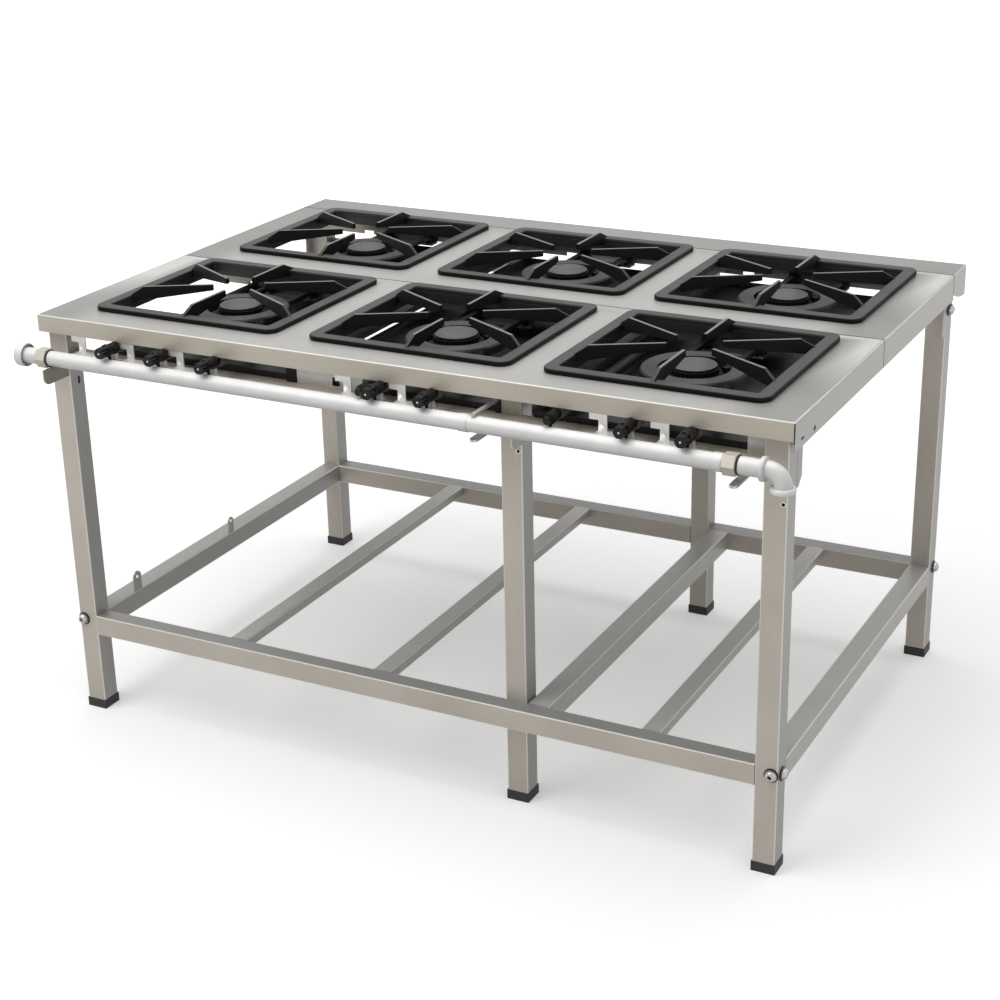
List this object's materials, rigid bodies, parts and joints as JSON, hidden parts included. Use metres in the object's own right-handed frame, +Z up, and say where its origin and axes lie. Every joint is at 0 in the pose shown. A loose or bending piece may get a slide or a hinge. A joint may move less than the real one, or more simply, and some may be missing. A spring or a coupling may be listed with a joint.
{
  "type": "six-burner gas stove",
  "caption": "Free-standing industrial gas range: stainless table on a square-tube frame, cast-iron grates over round burners, a gas rail with black knobs along the front.",
  "frame": {"origin": "middle of the whole stove's footprint, on the floor under the feet", "axes": "+X along the front to the right as the cook faces it, +Y from the front with the gas rail to the back, +Z up"},
  "size_m": [1.476, 1.036, 0.824],
  "materials": {
    "stainless": "brushed stainless sheet",
    "frame_tube": "brushed stainless tube",
    "cast_iron": "satin dark coating",
    "burner_iron": "matt cast",
    "cap_iron": "matt cast",
    "tray_steel": "dark baked coating",
    "knob_plastic": "gloss",
    "foot_plastic": "matt",
    "pipe_silver": "satin silver paint",
    "nickel": "nickel plated",
    "zinc_plate": "bright zinc",
    "tap_brass": "dull"
  },
  "bodies": {
    "table": {"sheet_front": "stainless", "sheet_middle": "stainless", "sheet_rear": "stainless", "leg_front_left": "frame_tube", "leg_front_inner": "frame_tube", "leg_front_right": "frame_tube", "leg_rear_left": "frame_tube", "leg_rear_inner": "frame_tube", "leg_rear_right": "frame_tube", "lower_rail_front": "frame_tube", "lower_rail_rear": "frame_tube", "lower_rail_left": "frame_tube", "lower_rail_right": "frame_tube", "lower_cross_tube": "frame_tube", "lower_slats": "frame_tube", "rail_lugs": "frame_tube", "upper_rail_front": "frame_tube", "upper_rail_rear": "frame_tube", "upper_cross_rails": "frame_tube", "corner_gussets": "frame_tube", "burner_hangers": "frame_tube", "rail_carriers": "frame_tube", "feet": "foot_plastic", "frame_bolts": "zinc_plate", "tap_brackets": "zinc_plate", "taps": "tap_brass", "gas_pipe": "pipe_silver", "gas_elbow": "pipe_silver", "pipe_fittings": "nickel", "burner_front_left": "burner_iron", "burner_rear_left": "burner_iron", "burner_front_middle": "burner_iron", "burner_rear_middle": "burner_iron", "burner_front_right": "burner_iron", "burner_rear_right": "burner_iron"},
    "burner_cap_front_left_body": {"burner_cap_front_left": "cap_iron"},
    "grate_front_left_body": {"grate_front_left": "cast_iron"},
    "burner_cap_rear_left_body": {"burner_cap_rear_left": "cap_iron"},
    "grate_rear_left_body": {"grate_rear_left": "cast_iron"},
    "drip_tray_left_body": {"drip_tray_left": "tray_steel"},
    "burner_cap_front_middle_body": {"burner_cap_front_middle": "cap_iron"},
    "grate_front_middle_body": {"grate_front_middle": "cast_iron"},
    "burner_cap_rear_middle_body": {"burner_cap_rear_middle": "cap_iron"},
    "grate_rear_middle_body": {"grate_rear_middle": "cast_iron"},
    "drip_tray_middle_body": {"drip_tray_middle": "tray_steel"},
    "burner_cap_front_right_body": {"burner_cap_front_right": "cap_iron"},
    "grate_front_right_body": {"grate_front_right": "cast_iron"},
    "burner_cap_rear_right_body": {"burner_cap_rear_right": "cap_iron"},
    "grate_rear_right_body": {"grate_rear_right": "cast_iron"},
    "drip_tray_right_body": {"drip_tray_right": "tray_steel"},
    "knob_1_body": {"knob_1": "knob_plastic"},
    "knob_2_body": {"knob_2": "knob_plastic"},
    "knob_3_body": {"knob_3": "knob_plastic"},
    "knob_4_body": {"knob_4": "knob_plastic"},
    "knob_5_body": {"knob_5": "knob_plastic"},
    "knob_6_body": {"knob_6": "knob_plastic"},
    "knob_7_body": {"knob_7": "knob_plastic"},
    "side_knob_1_body": {"side_knob_1": "knob_plastic"},
    "side_knob_2_body": {"side_knob_2": "knob_plastic"}
  },
  "joints": [
    {"name": "knob_1_turn", "type": "hinge", "parent": "table", "child": "knob_1_body", "pos_m": [-0.542, -0.502, 0.7615], "axis": [0, -1, 0], "range_deg": [0, 90]},
    {"name": "knob_2_turn", "type": "hinge", "parent": "table", "child": "knob_2_body", "pos_m": [-0.436, -0.502, 0.7615], "axis": [0, -1, 0], "range_deg": [0, 90]},
    {"name": "knob_3_turn", "type": "hinge", "parent": "table", "child": "knob_3_body", "pos_m": [-0.329, -0.502, 0.7615], "axis": [0, -1, 0], "range_deg": [0, 90]},
    {"name": "knob_4_turn", "type": "hinge", "parent": "table", "child": "knob_4_body", "pos_m": [0.004, -0.502, 0.7615], "axis": [0, -1, 0], "range_deg": [0, 90]},
    {"name": "knob_5_turn", "type": "hinge", "parent": "table", "child": "knob_5_body", "pos_m": [0.102, -0.502, 0.7615], "axis": [0, -1, 0], "range_deg": [0, 90]},
    {"name": "knob_6_turn", "type": "hinge", "parent": "table", "child": "knob_6_body", "pos_m": [0.457, -0.502, 0.7615], "axis": [0, -1, 0], "range_deg": [0, 90]},
    {"name": "knob_7_turn", "type": "hinge", "parent": "table", "child": "knob_7_body", "pos_m": [0.559, -0.502, 0.7615], "axis": [0, -1, 0], "range_deg": [0, 90]},
    {"name": "side_knob_1_turn", "type": "hinge", "parent": "table", "child": "side_knob_1_body", "pos_m": [-0.02, -0.495, 0.757], "axis": [0, -1, 0], "range_deg": [0, 90]},
    {"name": "side_knob_2_turn", "type": "hinge", "parent": "table", "child": "side_knob_2_body", "pos_m": [0.326, -0.495, 0.757], "axis": [0, -1, 0], "range_deg": [0, 90]},
    {"name": "grate_front_left_lift", "type": "slide", "parent": "table", "child": "grate_front_left_body", "axis": [0, 0, 1], "range_m": [0, 0.16]},
    {"name": "burner_cap_front_left_lift", "type": "slide", "parent": "table", "child": "burner_cap_front_left_body", "axis": [0, 0, 1], "range_m": [0, 0.12]},
    {"name": "grate_rear_left_lift", "type": "slide", "parent": "table", "child": "grate_rear_left_body", "axis": [0, 0, 1], "range_m": [0, 0.16]},
    {"name": "burner_cap_rear_left_lift", "type": "slide", "parent": "table", "child": "burner_cap_rear_left_body", "axis": [0, 0, 1], "range_m": [0, 0.12]},
    {"name": "drip_tray_left_slide", "type": "slide", "parent": "table", "child": "drip_tray_left_body", "axis": [0, 1, 0], "range_m": [0, 0.6]},
    {"name": "grate_front_middle_lift", "type": "slide", "parent": "table", "child": "grate_front_middle_body", "axis": [0, 0, 1], "range_m": [0, 0.16]},
    {"name": "burner_cap_front_middle_lift", "type": "slide", "parent": "table", "child": "burner_cap_front_middle_body", "axis": [0, 0, 1], "range_m": [0, 0.12]},
    {"name": "grate_rear_middle_lift", "type": "slide", "parent": "table", "child": "grate_rear_middle_body", "axis": [0, 0, 1], "range_m": [0, 0.16]},
    {"name": "burner_cap_rear_middle_lift", "type": "slide", "parent": "table", "child": "burner_cap_rear_middle_body", "axis": [0, 0, 1], "range_m": [0, 0.12]},
    {"name": "drip_tray_middle_slide", "type": "slide", "parent": "table", "child": "drip_tray_middle_body", "axis": [0, 1, 0], "range_m": [0, 0.6]},
    {"name": "grate_front_right_lift", "type": "slide", "parent": "table", "child": "grate_front_right_body", "axis": [0, 0, 1], "range_m": [0, 0.16]},
    {"name": "burner_cap_front_right_lift", "type": "slide", "parent": "table", "child": "burner_cap_front_right_body", "axis": [0, 0, 1], "range_m": [0, 0.12]},
    {"name": "grate_rear_right_lift", "type": "slide", "parent": "table", "child": "grate_rear_right_body", "axis": [0, 0, 1], "range_m": [0, 0.16]},
    {"name": "burner_cap_rear_right_lift", "type": "slide", "parent": "table", "child": "burner_cap_rear_right_body", "axis": [0, 0, 1], "range_m": [0, 0.12]},
    {"name": "drip_tray_right_slide", "type": "slide", "parent": "table", "child": "drip_tray_right_body", "axis": [0, 1, 0], "range_m": [0, 0.6]}
  ]
}
